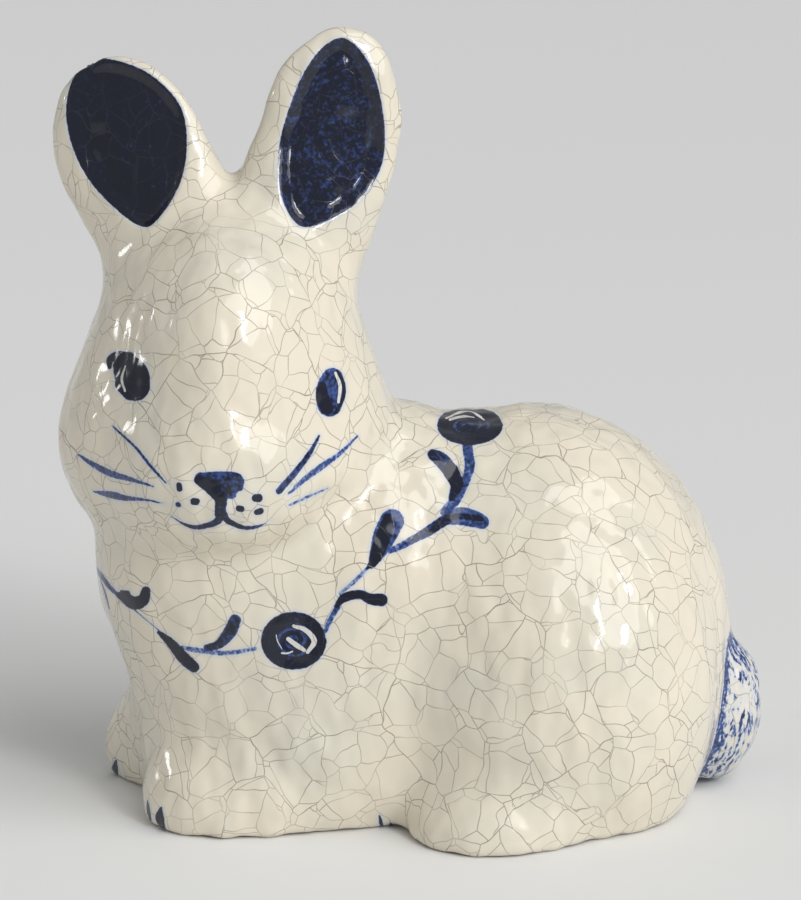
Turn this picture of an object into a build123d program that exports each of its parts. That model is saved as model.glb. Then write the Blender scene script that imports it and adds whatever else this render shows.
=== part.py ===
"""A sitting rabbit in slip-cast white clay, glazed, and painted in cobalt under the glaze.

Millimetres, +Z up. The origin is on the floor under the middle of the figure, +X points to the
tail and -Y to the side that is shown. Each form is a blend of ellipsoids of clay, which are
called lumps here, and its solid is lofted through cross-sections of that blend.
"""

import math
import os

from build123d import *

os.makedirs("parts", exist_ok=True)

# Clay walls and the luted joints between castings
wall = 4
foot_wall = 4
paint_depth = 0.5
overrun = 6
climb = 8
drain_hole_diameter = 11
neck_vent_diameter = 14

# Body casting
body_length = 125
body_width = 90
body_height = 75
body_blend = 10
chest_blend = 12
haunch_blend = 5

# Head casting, which sits on the shoulders and looks out over the body's left side
head_width = 66
head_depth = 58
head_height = 66
head_turn_degrees = -8
head_tilt_degrees = 2
head_blend = 12
bridge_blend = 10
head_x = -40
head_y = -3
head_z = 85.5

# Ears, each a blade on a wide root
ear_left_length = 44
ear_left_width = 27.5
ear_right_length = 39
ear_right_width = 31
ear_thickness = 10
ear_root_width = 28
ear_root_length = 33
ear_root_thickness = 16
ear_blend = 8
ear_lining_rim = 3.8
ear_lining_depth = 2.4

# Tail and paws
tail_length = 21
tail_width = 24
tail_height = 31
forepaw_length = 34
forepaw_width = 26
forepaw_height = 24
far_forepaw_length = 28
far_forepaw_width = 20
far_forepaw_height = 26
hind_foot_length = 32
hind_foot_width = 28
hind_foot_height = 20

# Painted face
eye_width = 8.5
eye_height = 10.2
nose_width = 10.2
nose_height = 5.6
nose_stem_width = 2.2
mouth_width = 21
mouth_drop = 1.6
mouth_line = 1.8
whisker_length = 15
whisker_line = 1.6
dot_diameter = 1.5

# Painted garland and claws
vine_line = 1.8
leaf_width = 4.2
rose_diameter = 13.4
rose_line = 1.1
claw_length = 4.2
claw_width = 1.4

# Lofting
section_count = 11
ray_count = 20
search_steps = 20
cap_share = 0.5
coil_share = 0.18
swell_share = 0.7
coil_turn_shares = (0.33, 0.5, 0.67, 0.83, 1, 1.17, 1.33, 1.5, 1.67, 1.83, 2)

# Lumps: the centre as shares of the form's length, width and height, then the half sizes as
# shares of the same
rump_shares = ((0.16, 0, 0.37), (0.32, 0.42, 0.64))
back_shares = ((-0.1, 0, 0.41), (0.29, 0.37, 0.64))
chest_shares = ((-0.336, -0.02, 0.667), (0.192, 0.289, 0.427))
brisket_shares = ((-0.224, -0.01, 0.187), (0.24, 0.333, 0.453))
left_haunch_shares = ((0.184, -0.21, 0.307), (0.248, 0.289, 0.507))
right_haunch_shares = ((0.184, 0.21, 0.307), (0.248, 0.289, 0.507))
skull_shares = ((0, 0.07, 0.12), (0.38, 0.45, 0.41))
jowl_shares = ((0.008, 0.017, -0.205), (0.5, 0.483, 0.4))
bridge_shares = ((0, -0.19, 0.03), (0.197, 0.31, 0.394))
muzzle_shares = ((0, -0.328, -0.227), (0.242, 0.25, 0.197))

# Places as shares of the body's length, width and height
body_core_shares = (-0.04, 0, 0.5)
drain_share = 0.1
vent_shares = (-0.32, -0.03)
tail_shares = (0.44, -0.067, 0.213)
left_forepaw_shares = (-0.328, -0.211, 0.053)
right_forepaw_shares = (-0.4, 0.1, 0.08)
left_hind_foot_shares = (0.072, -0.367, 0.027)
right_hind_foot_shares = (0.072, 0.367, 0.027)

# Places as shares of the head's width, depth and height
ear_left_shares = (0.273, 0.12, 0.697)
ear_right_shares = (-0.303, 0.12, 0.621)
ear_root_left_shares = (0.182, 0.103, 0.424)
ear_root_right_shares = (-0.16, 0.103, 0.394)

# Marks on the face: how far to the head's left and how far up, as shares of its width and height.
# A cheek's marks have their own middle, and a whisker has its length and its slant in degrees too.
eye_left_shares = (0.317, 0.03)
eye_right_shares = (-0.262, 0.065)
muzzle_middle_shares = (0.023, -0.183)
mouth_shares = (0.078, -0.125)
dot_shares = ((0.115, -0.02), (0.063, -0.058), (0.115, -0.066))
whisker_shares = ((0.225, 0.085, 1, 50), (0.29, 0.05, 1.12, 32), (0.25, -0.036, 0.8, 17))

# Claws: a place on the paw as shares of its half sizes, ahead, across and up
claw_shares = ((-0.9, -0.5, -0.05), (-0.95, -0.05, 0), (-0.9, 0.4, -0.05))

# The garland of the shown side, as shares of the body's length, width and height. The far side
# repeats it, mirrored, from the middle of the chest to the rose on the back.
front_vine_shares = ((-0.532, 0, 0.65), (-0.51, -0.14, 0.617), (-0.446, -0.246, 0.545))
low_vine_shares = ((-0.446, -0.246, 0.545), (-0.378, -0.288, 0.492), (-0.234, -0.338, 0.533))
high_vine_shares = (
    (-0.234, -0.338, 0.533),
    (-0.15, -0.33, 0.665),
    (-0.041, -0.298, 0.779),
    (0.024, -0.248, 0.862),
    (0.058, -0.07, 0.995),
)
leaf_shares = (
    ((-0.522, -0.082, 0.615), (-0.512, -0.114, 0.54)),
    ((-0.494, -0.2, 0.575), (-0.452, -0.244, 0.64)),
    ((-0.425, -0.26, 0.515), (-0.385, -0.279, 0.436)),
    ((-0.37, -0.296, 0.501), (-0.321, -0.317, 0.591)),
    ((-0.16, -0.337, 0.636), (-0.094, -0.346, 0.631)),
    ((-0.119, -0.321, 0.719), (-0.082, -0.269, 0.847)),
    ((0.01, -0.273, 0.82), (0.068, -0.291, 0.809)),
    ((0.011, -0.242, 0.869), (-0.014, -0.17, 0.955)),
)
chest_rose_shares = (-0.234, -0.338, 0.533)
back_rose_shares = (0.058, -0.07, 0.995)


class Frame:
    """A place in the clay with three directions of its own: right, back and up."""

    def __init__(self, origin, right, back, up):
        self.origin = origin
        self.ways = (right, back, up)

    def out(self, local):
        """The point of the model that a local point stands for."""
        return self.origin + self.heading(local)

    def heading(self, local):
        """The direction of the model that a local direction stands for."""
        return sum((way * a for way, a in zip(self.ways, local)), Vector(0, 0, 0))

    def turned(self, local, yaw, nod, lean):
        """A frame at a local point, turned about up, nodded about right, then leaned about back."""
        y, n, s = (math.radians(a) for a in (yaw, nod, lean))
        right = (
            math.cos(y) * math.cos(s) - math.sin(y) * math.sin(n) * math.sin(s),
            math.sin(y) * math.cos(s) + math.cos(y) * math.sin(n) * math.sin(s),
            -math.cos(n) * math.sin(s),
        )
        back = (-math.sin(y) * math.cos(n), math.cos(y) * math.cos(n), math.sin(n))
        up = (
            math.cos(y) * math.sin(s) + math.sin(y) * math.sin(n) * math.cos(s),
            math.sin(y) * math.sin(s) - math.cos(y) * math.sin(n) * math.cos(s),
            math.cos(n) * math.cos(s),
        )
        return Frame(self.out(local), *(self.heading(way) for way in (right, back, up)))


class Lump:
    """An ellipsoid of clay in a frame at its centre."""

    def __init__(self, frame, radii):
        self.frame = frame
        self.radii = radii

    def gap(self, point):
        """About how far the point lies outside the lump, negative inside it."""
        offset = point - self.frame.origin
        parts = [offset.dot(way) for way in self.frame.ways]
        near = math.sqrt(sum((a / r) ** 2 for a, r in zip(parts, self.radii)))
        steep = math.sqrt(sum((a / r / r) ** 2 for a, r in zip(parts, self.radii)))
        if steep == 0:
            return -min(self.radii)
        return near * (near - 1) / steep


def sized(shares, sizes):
    """Shares of a form's sizes as lengths."""
    return [share * size for share, size in zip(shares, sizes)]


def lump_of(shares, sizes, frame):
    """A lump whose centre and half sizes are shares of the form it belongs to."""
    centre, radii = shares
    return Lump(frame.turned(sized(centre, sizes), 0, 0, 0), sized(radii, sizes))


def blended(reach, *gaps):
    """The gap to clay that is smoothed together over the reach."""
    joined = gaps[0]
    for gap in gaps[1:]:
        mix = min(max(0.5 + 0.5 * (gap - joined) / reach, 0), 1)
        joined = joined * mix + gap * (1 - mix) - reach * mix * (1 - mix)
    return joined


def reach_of(field, start, way):
    """How far the surface lies from a point inside the clay, the way given."""
    far = overrun
    while field(start + way * far) < 0:
        far += overrun
    near = far - overrun
    for _ in range(search_steps):
        middle = (near + far) / 2
        if field(start + way * middle) < 0:
            near = middle
        else:
            far = middle
    return near


def seated(field, core, place):
    """The point of the surface that lies beyond a place, seen from the form's core."""
    way = (place - core).normalized()
    return core + way * reach_of(field, core, way)


def outward(field, point):
    """The direction square to the surface at a point of it."""
    ways = (Vector(1, 0, 0), Vector(0, 1, 0), Vector(0, 0, 1))
    slopes = [field(point + way * paint_depth) - field(point - way * paint_depth) for way in ways]
    return Vector(*slopes).normalized()


def farthest(field, start, way):
    """The point where the surface lies farthest out, the way given, near the start."""
    stride = climb
    end = start + way * reach_of(field, start, way)
    for _ in range(search_steps):
        lean = outward(field, end)
        tried = start - (lean - way * lean.dot(way)) * stride
        found = tried + way * reach_of(field, tried, way)
        if field(tried) < 0 and (found - end).dot(way) > 0:
            start, end = tried, found
        else:
            stride /= 2
    return end


def lofted(field, frame):
    """A solid through cross-sections of the field, square to the frame's up. The sections crowd
    towards the two ends, which are small flats, and their seam runs along the frame's back."""
    up = frame.ways[2]
    low = farthest(field, frame.origin, up * -1)
    high = farthest(field, frame.origin, up)
    marks = [mark / ray_count for mark in range(ray_count + 1)]
    rings = []
    for section in range(section_count):
        turn = math.pi * (section + cap_share) / (section_count - 1 + 2 * cap_share)
        middle = low + (high - low) * ((1 - math.cos(turn)) / 2)
        points = []
        for ray in range(ray_count):
            angle = math.tau * ray / ray_count
            way = frame.heading((-math.sin(angle), math.cos(angle), 0))
            points.append(middle + way * reach_of(field, middle, way))
        rings.append(Wire([Edge.make_spline(points, periodic=True, parameters=marks)]))
    return Solid.make_loft(rings)


def inset(field, depth):
    """The same form with its surface moved inwards."""
    return lambda point: field(point) + depth


def above(solid, height):
    """What is left of a solid above a level."""
    return split(solid, bisect_by=Plane.XY.offset(height), keep=Keep.TOP)


def largest(cut):
    """The main piece of what a cut leaves."""
    return max(cut.solids(), key=lambda piece: piece.volume)


def colour_of(form, stencils):
    """The colour that fills the shallow pockets of the stencils in a form."""
    return Compound(children=[piece for cut in stencils for piece in (form & cut).solids()])


def stencil(field, spot, along, sketch):
    """A sketch laid on the surface at a spot, its x the way given, as a prism through the skin."""
    plane = Plane(origin=spot, x_dir=along, z_dir=outward(field, spot))
    return extrude(plane * sketch, amount=wall / 2, both=True)


def petal(length, width):
    """A brush mark that starts at a point and ends round, with its middle at 0."""
    tip, end, swell = (-length / 2, 0), (length / 2, 0), width * swell_share
    upper = Bezier(tip, (-length / 4, swell), (length / 2, swell), end)
    lower = Bezier(end, (length / 2, -swell), (-length / 4, -swell), tip)
    return make_face([upper, lower])


# Where the clay is
floor_frame = Frame(Vector(0, 0, 0), Vector(1, 0, 0), Vector(0, 1, 0), Vector(0, 0, 1))
body_sizes = (body_length, body_width, body_height)
body_lumps = [
    lump_of(shares, body_sizes, floor_frame)
    for shares in (
        rump_shares,
        back_shares,
        chest_shares,
        brisket_shares,
        left_haunch_shares,
        right_haunch_shares,
    )
]
head_sizes = (head_width, head_depth, head_height)
head_frame = floor_frame.turned((head_x, head_y, head_z), head_turn_degrees, 0, head_tilt_degrees)
skull, jowl, bridge, muzzle = [
    lump_of(shares, head_sizes, head_frame)
    for shares in (skull_shares, jowl_shares, bridge_shares, muzzle_shares)
]


def body_field(point):
    """The body without paws or tail."""
    rump, back, chest, brisket, left_haunch, right_haunch = (a.gap(point) for a in body_lumps)
    trunk = blended(chest_blend, blended(body_blend, rump, back), chest, brisket)
    return blended(haunch_blend, trunk, left_haunch, right_haunch)


def head_field(point):
    """The head without ears."""
    cheeks = blended(head_blend, skull.gap(point), jowl.gap(point))
    return blended(bridge_blend, cheeks, bridge.gap(point), muzzle.gap(point))


# Every form as one closed solid, before any of them is hollowed or cut by its neighbour
body_core = floor_frame.out(sized(body_core_shares, body_sizes))
lengthwise = Frame(body_core, Vector(0, -1, 0), Vector(0, 0, -1), Vector(1, 0, 0))
body_form = above(lofted(body_field, lengthwise), 0)
body_hollow = above(lofted(inset(body_field, wall), lengthwise), foot_wall)
head_form = lofted(head_field, head_frame)
head_hollow = lofted(inset(head_field, wall), head_frame)


# Face: eyes, nose, mouth, whiskers and muzzle dots, each its own touch of colour
def face_stencil(shares, sketch):
    """A sketch laid on the front of the head, its x to the head's own left."""
    across, up = sized(shares, (head_width, head_height))
    start, front = head_frame.out((across, 0, up)), head_frame.ways[1] * -1
    spot = start + front * reach_of(head_field, start, front)
    return stencil(head_field, spot, head_frame.ways[0], sketch)


def beside_muzzle(side, shares):
    """A place on one cheek, side 1 for the rabbit's left and -1 for its right."""
    return muzzle_middle_shares[0] + side * shares[0], muzzle_middle_shares[1] + shares[1]


def face_marks(side):
    """The stencils of the mouth's arc, the dots and the whiskers of one cheek."""
    lip = Spline(
        (-mouth_width / 4, mouth_drop / 2),
        (0, -mouth_drop / 2),
        (mouth_width / 4, mouth_drop / 2),
    )
    arc = face_stencil(beside_muzzle(side, mouth_shares), trace(lip, mouth_line))
    dot = Circle(dot_diameter / 2)
    dots = [face_stencil(beside_muzzle(side, place), dot) for place in dot_shares]
    hairs = []
    for across, up, long_share, slant in whisker_shares:
        hair = petal(whisker_length * long_share, whisker_line)
        leaning = Rot(0, 0, 180 + slant if side > 0 else -slant) * hair
        hairs.append(face_stencil(beside_muzzle(side, (across, up)), leaning))
    return arc, dots, hairs


eye = Ellipse(eye_width / 2, eye_height / 2)
eye_left_stencil = face_stencil(eye_left_shares, eye)
eye_right_stencil = face_stencil(eye_right_shares, eye)
nose_outline = Polyline(
    (-nose_width / 2, nose_height / 2),
    (nose_width / 2, nose_height / 2),
    (nose_stem_width / 2, -nose_height / 2),
    (nose_stem_width / 2, -nose_height),
    (-nose_stem_width / 2, -nose_height),
    (-nose_stem_width / 2, -nose_height / 2),
    close=True,
)
nose_stencil = face_stencil(muzzle_middle_shares, make_face(nose_outline))
lip_left, dots_left, hairs_left = face_marks(1)
lip_right, dots_right, hairs_right = face_marks(-1)
eye_left = colour_of(head_form, [eye_left_stencil])
eye_right = colour_of(head_form, [eye_right_stencil])
nose = colour_of(head_form, [nose_stencil])
mouth = colour_of(head_form, [lip_left, lip_right])
muzzle_dots_left = colour_of(head_form, dots_left)
muzzle_dots_right = colour_of(head_form, dots_right)
whiskers_left = colour_of(head_form, hairs_left)
whiskers_right = colour_of(head_form, hairs_right)
face_stencils = [
    eye_left_stencil,
    eye_right_stencil,
    nose_stencil,
    lip_left,
    lip_right,
    *dots_left,
    *dots_right,
    *hairs_left,
    *hairs_right,
]

# Head: a hollow casting, open below, luted onto the shoulders
head_shell = head_form - [*face_stencils, head_hollow, body_form]


# Garland: a vine with leaves and spiral roses, painted over the chest, flank and back
def on_body(shares):
    """The point of the body's surface near a place."""
    return seated(body_field, body_core, floor_frame.out(sized(shares, body_sizes)))


def mirrored(shares):
    """The same place on the far side."""
    across = -shares[1]
    return shares[0], across, shares[2]


def stroke(start_shares, end_shares, width):
    """A brush mark on the body, its point at the start."""
    start, end = on_body(start_shares), on_body(end_shares)
    middle = seated(body_field, body_core, (start + end) / 2)
    return stencil(body_field, middle, end - start, petal((end - start).length, width))


def vine(line_shares):
    """A stem as a row of brush marks, each from where the last one ends."""
    return [stroke(start, end, vine_line) for start, end in zip(line_shares, line_shares[1:])]


def rose(shares, toward_shares):
    """A round bloom with a spiral left bare in it."""
    reaches = [rose_diameter * turn * coil_share for turn in coil_turn_shares]
    coil = Spline(
        [
            (reach * math.cos(math.tau * turn), reach * math.sin(math.tau * turn))
            for reach, turn in zip(reaches, coil_turn_shares)
        ]
    )
    bloom = Circle(rose_diameter / 2) - trace(coil, rose_line)
    spot = on_body(shares)
    return stencil(body_field, spot, on_body(toward_shares) - spot, bloom)


def side_of_garland(flip):
    """The stems, the leaves and the chest rose of one side."""
    lines = (front_vine_shares, low_vine_shares, high_vine_shares)
    stems = [mark for line in lines for mark in vine([flip(shares) for shares in line])]
    leaves = [stroke(flip(start), flip(end), leaf_width) for start, end in leaf_shares]
    return stems, leaves, rose(flip(chest_rose_shares), flip(back_rose_shares))


left_stems, left_leaves, left_rose = side_of_garland(lambda shares: shares)
right_stems, right_leaves, right_rose = side_of_garland(mirrored)
back_rose = rose(back_rose_shares, chest_rose_shares)
blooms = [left_rose, right_rose, back_rose]
over_stems = [*left_leaves, *right_leaves, *blooms]
left_stems, right_stems = (
    [largest(mark - over_stems) for mark in marks] for marks in (left_stems, right_stems)
)
garland_vine_left = colour_of(body_form, left_stems)
garland_vine_right = colour_of(body_form, right_stems)
garland_leaves_left = colour_of(body_form, left_leaves)
garland_leaves_right = colour_of(body_form, right_leaves)
garland_rose_left = colour_of(body_form, [left_rose])
garland_rose_right = colour_of(body_form, [right_rose])
garland_rose_back = colour_of(body_form, [back_rose])

# Body: a hollow casting with a drain hole in its foot and a vent up into the head
drain_x = drain_share * body_length
vent_x, vent_y = sized(vent_shares, (body_length, body_width))
drain = Pos(drain_x, 0, 0) * Cylinder(drain_hole_diameter / 2, 2 * (foot_wall + overrun))
vent = Pos(vent_x, vent_y, body_height) * Cylinder(neck_vent_diameter / 2, body_height)
painted = [*left_stems, *right_stems, *over_stems]
body_shell = largest(body_form - [*painted, body_hollow, drain, vent])


# Ears, each with the dark lining that is painted in its front
def ear(blade_frame, width, length, root_frame):
    """The field of an ear: a thin blade that widens into its root."""
    blade = Lump(blade_frame, (width / 2, ear_thickness / 2, length / 2))
    root = Lump(root_frame, (ear_root_width / 2, ear_root_thickness / 2, ear_root_length / 2))
    return lambda point: blended(ear_blend, blade.gap(point), root.gap(point))


def ear_parts(blade_frame, width, length, root_frame):
    """An ear and its lining."""
    field = ear(blade_frame, width, length, root_frame)
    form = lofted(field, blade_frame)
    outline = Ellipse(width / 2 - ear_lining_rim, length / 2 - ear_lining_rim)
    right, back, _ = blade_frame.ways
    bottom = blade_frame.out((0, ear_lining_depth - ear_thickness / 2, 0))
    pocket = extrude(Plane(origin=bottom, x_dir=right, z_dir=back * -1) * outline, amount=ear_thickness)
    return form - [head_form, pocket], (form & pocket) - head_form


ear_left_frame = head_frame.turned(sized(ear_left_shares, head_sizes), 8, -4, 10)
ear_left_root = head_frame.turned(sized(ear_root_left_shares, head_sizes), 4, 0, 8)
ear_right_frame = head_frame.turned(sized(ear_right_shares, head_sizes), -14, -4, -23)
ear_right_root = head_frame.turned(sized(ear_root_right_shares, head_sizes), -8, 0, -18)
ear_left, ear_lining_left = ear_parts(
    ear_left_frame, ear_left_width, ear_left_length, ear_left_root
)
ear_right, ear_lining_right = ear_parts(
    ear_right_frame, ear_right_width, ear_right_length, ear_right_root
)
ear_right -= ear_left


# Paws: solid lumps that rest on the floor, luted to the body, each with its painted claws
def paw(place_shares, length, width, height):
    """A paw and its claws."""
    frame = floor_frame.turned(sized(place_shares, body_sizes), 0, 0, 0)
    half_sizes = (length / 2, width / 2, height / 2)
    lump = Lump(frame, half_sizes)
    form = above(lofted(lump.gap, frame), 0) - body_form
    slit = petal(claw_length, claw_width)
    slits = []
    for shares in claw_shares:
        spot = seated(lump.gap, frame.origin, frame.out(sized(shares, half_sizes)))
        slits.append(stencil(lump.gap, spot, Vector(0, 0, 1).cross(outward(lump.gap, spot)), slit))
    return form - slits, colour_of(form, slits)


forepaw_left, claws_forepaw_left = paw(
    left_forepaw_shares, forepaw_length, forepaw_width, forepaw_height
)
forepaw_right, claws_forepaw_right = paw(
    right_forepaw_shares, far_forepaw_length, far_forepaw_width, far_forepaw_height
)
hind_foot_left, claws_hind_left = paw(
    left_hind_foot_shares, hind_foot_length, hind_foot_width, hind_foot_height
)
hind_foot_right, claws_hind_right = paw(
    right_hind_foot_shares, hind_foot_length, hind_foot_width, hind_foot_height
)

# Tail: a solid bob, its whole outside sponged with cobalt
tail_frame = floor_frame.turned(sized(tail_shares, body_sizes), 0, 0, 0)
tail_field = Lump(tail_frame, (tail_length / 2, tail_width / 2, tail_height / 2)).gap
tail_core = lofted(inset(tail_field, paint_depth), tail_frame)
tail = tail_core - body_form
tail_sponging = lofted(tail_field, tail_frame) - [tail_core, body_form]

for name, node in {
    "body_shell": body_shell,
    "head_shell": head_shell,
    "ear_left": ear_left,
    "ear_right": ear_right,
    "ear_lining_left": ear_lining_left,
    "ear_lining_right": ear_lining_right,
    "forepaw_left": forepaw_left,
    "forepaw_right": forepaw_right,
    "hind_foot_left": hind_foot_left,
    "hind_foot_right": hind_foot_right,
    "claws_forepaw_left": claws_forepaw_left,
    "claws_forepaw_right": claws_forepaw_right,
    "claws_hind_left": claws_hind_left,
    "claws_hind_right": claws_hind_right,
    "tail": tail,
    "tail_sponging": tail_sponging,
    "eye_left": eye_left,
    "eye_right": eye_right,
    "nose": nose,
    "mouth": mouth,
    "muzzle_dots_left": muzzle_dots_left,
    "muzzle_dots_right": muzzle_dots_right,
    "whiskers_left": whiskers_left,
    "whiskers_right": whiskers_right,
    "garland_vine_left": garland_vine_left,
    "garland_vine_right": garland_vine_right,
    "garland_leaves_left": garland_leaves_left,
    "garland_leaves_right": garland_leaves_right,
    "garland_rose_left": garland_rose_left,
    "garland_rose_right": garland_rose_right,
    "garland_rose_back": garland_rose_back,
}.items():
    export_step(node, f"parts/{name}.step")
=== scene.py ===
import bpy
import numpy as np
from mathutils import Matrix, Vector, noise


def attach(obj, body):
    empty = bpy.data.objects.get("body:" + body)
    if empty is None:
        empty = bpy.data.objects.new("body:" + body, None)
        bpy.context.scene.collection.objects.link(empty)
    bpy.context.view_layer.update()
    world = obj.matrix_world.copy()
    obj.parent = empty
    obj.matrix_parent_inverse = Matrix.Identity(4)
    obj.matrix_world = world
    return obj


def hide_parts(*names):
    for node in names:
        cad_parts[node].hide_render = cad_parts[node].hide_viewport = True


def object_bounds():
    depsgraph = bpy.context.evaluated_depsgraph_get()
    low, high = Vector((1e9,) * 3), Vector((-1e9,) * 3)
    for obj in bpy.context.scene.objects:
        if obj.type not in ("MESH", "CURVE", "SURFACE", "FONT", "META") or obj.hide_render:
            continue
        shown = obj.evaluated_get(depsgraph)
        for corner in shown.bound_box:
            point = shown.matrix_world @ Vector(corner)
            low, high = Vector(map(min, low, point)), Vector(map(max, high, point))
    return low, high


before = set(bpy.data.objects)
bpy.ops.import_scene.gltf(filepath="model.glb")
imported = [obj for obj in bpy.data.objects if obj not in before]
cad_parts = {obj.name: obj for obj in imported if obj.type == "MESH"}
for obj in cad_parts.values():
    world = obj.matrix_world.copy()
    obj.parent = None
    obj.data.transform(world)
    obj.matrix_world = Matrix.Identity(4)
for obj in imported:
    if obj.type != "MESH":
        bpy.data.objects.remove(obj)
cad_low, cad_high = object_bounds()

# The body is cast hollow in a plaster mould. It was modelled from rounded masses that run into
# each other: rump, back, chest, brisket and two haunches. Here each mass is an ellipsoid.
body_size = np.array((0.125, 0.090, 0.075))
body_reach = 0.010
chest_reach = 0.012
haunch_reach = 0.005
rump_shares = ((0.16, 0, 0.373), (0.32, 0.422, 0.64))
back_shares = ((-0.104, 0, 0.413), (0.288, 0.367, 0.64))
chest_shares = ((-0.336, -0.022, 0.667), (0.192, 0.289, 0.427))
brisket_shares = ((-0.224, -0.011, 0.187), (0.24, 0.333, 0.453))
haunch_shares = ((0.184, 0.211, 0.307), (0.248, 0.289, 0.507))


def lump(points, centre, radii, turn=None):
    """How far points lie outside an ellipsoid of clay, negative inside it."""
    local = points - centre
    if turn is not None:
        local = local @ turn
    near = np.linalg.norm(local / radii, axis=-1)
    steep = np.linalg.norm(local / radii**2, axis=-1)
    return near * (near - 1) / np.maximum(steep, 1e-6)


def body_lump(points, shares, side=1):
    """A lump whose place and half sizes are shares of the body's."""
    centre, radii = (np.array(part) * body_size for part in shares)
    return lump(points, centre * (1, side, 1), radii)


def blend(reach, joined, *gaps):
    """The gap to clay that is smoothed together over a reach."""
    for gap in gaps:
        mix = np.clip(0.5 + 0.5 * (gap - joined) / reach, 0, 1)
        joined = gap * (1 - mix) + joined * mix - reach * mix * (1 - mix)
    return joined


def body_gap(points):
    """The body alone."""
    trunk = blend(body_reach, body_lump(points, rump_shares), body_lump(points, back_shares))
    front = (body_lump(points, shares) for shares in (chest_shares, brisket_shares))
    trunk = blend(chest_reach, trunk, *front)
    haunches = (body_lump(points, haunch_shares, side) for side in (-1, 1))
    return blend(haunch_reach, trunk, *haunches)


# The head is a second casting, luted onto the shoulders with slip. It looks out over the body's
# side and leans a little.
head_size = np.array((0.066, 0.058, 0.066))
head_place = np.array((-0.040, -0.003, 0.0855))
head_turn_degrees = -8
head_lean_degrees = 2
cheek_reach = 0.012
muzzle_reach = 0.010
skull_shares = ((0, 0.069, 0.121), (0.379, 0.448, 0.409))
jowl_shares = ((0.008, 0.017, -0.205), (0.5, 0.483, 0.402))
bridge_shares = ((0, -0.19, 0.03), (0.197, 0.31, 0.394))
muzzle_shares = ((0, -0.328, -0.227), (0.242, 0.25, 0.197))


def turning(yaw, nod, lean):
    """The right, back and up of a piece that is turned, nodded and leaned, as columns."""
    y, n, s = np.radians((yaw, nod, lean))
    about_up = ((np.cos(y), -np.sin(y), 0), (np.sin(y), np.cos(y), 0), (0, 0, 1))
    about_right = ((1, 0, 0), (0, np.cos(n), -np.sin(n)), (0, np.sin(n), np.cos(n)))
    about_back = ((np.cos(s), 0, np.sin(s)), (0, 1, 0), (-np.sin(s), 0, np.cos(s)))
    return np.array(about_up) @ np.array(about_right) @ np.array(about_back)


head_ways = turning(head_turn_degrees, 0, head_lean_degrees)


def on_head(points):
    """Points in the head's own right, back and up."""
    return (points - head_place) @ head_ways


def head_gap(points):
    """The head without ears."""
    local = on_head(points)
    skull, jowl, bridge, muzzle = (
        lump(local, np.array(centre) * head_size, np.array(radii) * head_size)
        for centre, radii in (skull_shares, jowl_shares, bridge_shares, muzzle_shares)
    )
    return blend(muzzle_reach, blend(cheek_reach, skull, jowl), bridge, muzzle)


# The two ears are solid clay, luted to the head. Each is a thin blade on a wide root, hollowed in
# front, where it is lined with the darkest colour.
ear_reach = 0.008
ear_root_reach = 0.006
ear_hollow = 0.0018
ear_root_radii = np.array((0.014, 0.008, 0.0165))
ears = {
    "left": {
        "place": np.array((0.273, 0.12, 0.697)) * head_size,
        "radii": np.array((0.0137, 0.005, 0.022)),
        "ways": turning(8, -4, 10),
        "root": np.array((0.182, 0.103, 0.424)) * head_size,
        "root_ways": turning(4, 0, 8),
    },
    "right": {
        "place": np.array((-0.303, 0.12, 0.621)) * head_size,
        "radii": np.array((0.0155, 0.005, 0.0195)),
        "ways": turning(-14, -4, -23),
        "root": np.array((-0.16, 0.103, 0.394)) * head_size,
        "root_ways": turning(-8, 0, -18),
    },
}


def ear_gap(points, side):
    """One ear with its root."""
    ear, local = ears[side], on_head(points)
    blade = lump(local, ear["place"], ear["radii"], ear["ways"])
    return blend(ear_reach, blade, lump(local, ear["root"], ear_root_radii, ear["root_ways"]))


# The paws are four small solid lumps under the edge of the body, and the tail is a solid bob
# against the rump. All are luted on and smoothed over.
paw_reach = 0.008
tail_reach = 0.002
paws = {
    "forepaw_left": ((-0.328, -0.211, 0.053), (0.136, 0.144, 0.16)),
    "forepaw_right": ((-0.4, 0.1, 0.08), (0.112, 0.111, 0.173)),
    "hind_foot_left": ((0.072, -0.367, 0.027), (0.128, 0.156, 0.133)),
    "hind_foot_right": ((0.072, 0.367, 0.027), (0.128, 0.156, 0.133)),
}
tail_shares = ((0.44, -0.067, 0.213), (0.084, 0.133, 0.207))

# The whole figure, as it comes from the kiln: the pieces run into each other, the foot that was
# rubbed level has a soft edge, and slip was poured out through a hole in it.
joint_reach = 0.003
foot_reach = 0.0015
drain_place = np.array((0.0125, 0))
drain_radius = 0.0055
drain_depth = 0.014
slope_reach = 0.0001
flattest_slope = 0.05


def clay(points):
    """The gap to the whole figure."""
    below = blend(tail_reach, body_gap(points), body_lump(points, tail_shares))
    below = blend(paw_reach, below, *(body_lump(points, shares) for shares in paws.values()))
    both_ears = blend(tail_reach, ear_gap(points, "right"), ear_gap(points, "left"))
    above = blend(ear_root_reach, head_gap(points), both_ears)
    round_drain = np.linalg.norm(points[..., :2] - drain_place, axis=-1) - drain_radius
    drain = np.maximum(round_drain, points[..., 2] - drain_depth)
    whole = blend(joint_reach, below, above)
    return -blend(foot_reach, -whole, points[..., 2], drain)


def outward(points):
    """The slope of the gap at points, which is square to the surface there."""
    steps = np.eye(3) * slope_reach
    slopes = [clay(points + step) - clay(points - step) for step in steps]
    return np.stack(slopes, -1) / (2 * slope_reach)


def settled(points, rounds=4):
    """Points moved onto the surface."""
    for _ in range(rounds):
        slope = outward(points)
        steep = np.maximum((slope**2).sum(-1), flattest_slope)
        points = points - slope * (clay(points) / steep)[..., None]
    return points


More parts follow.
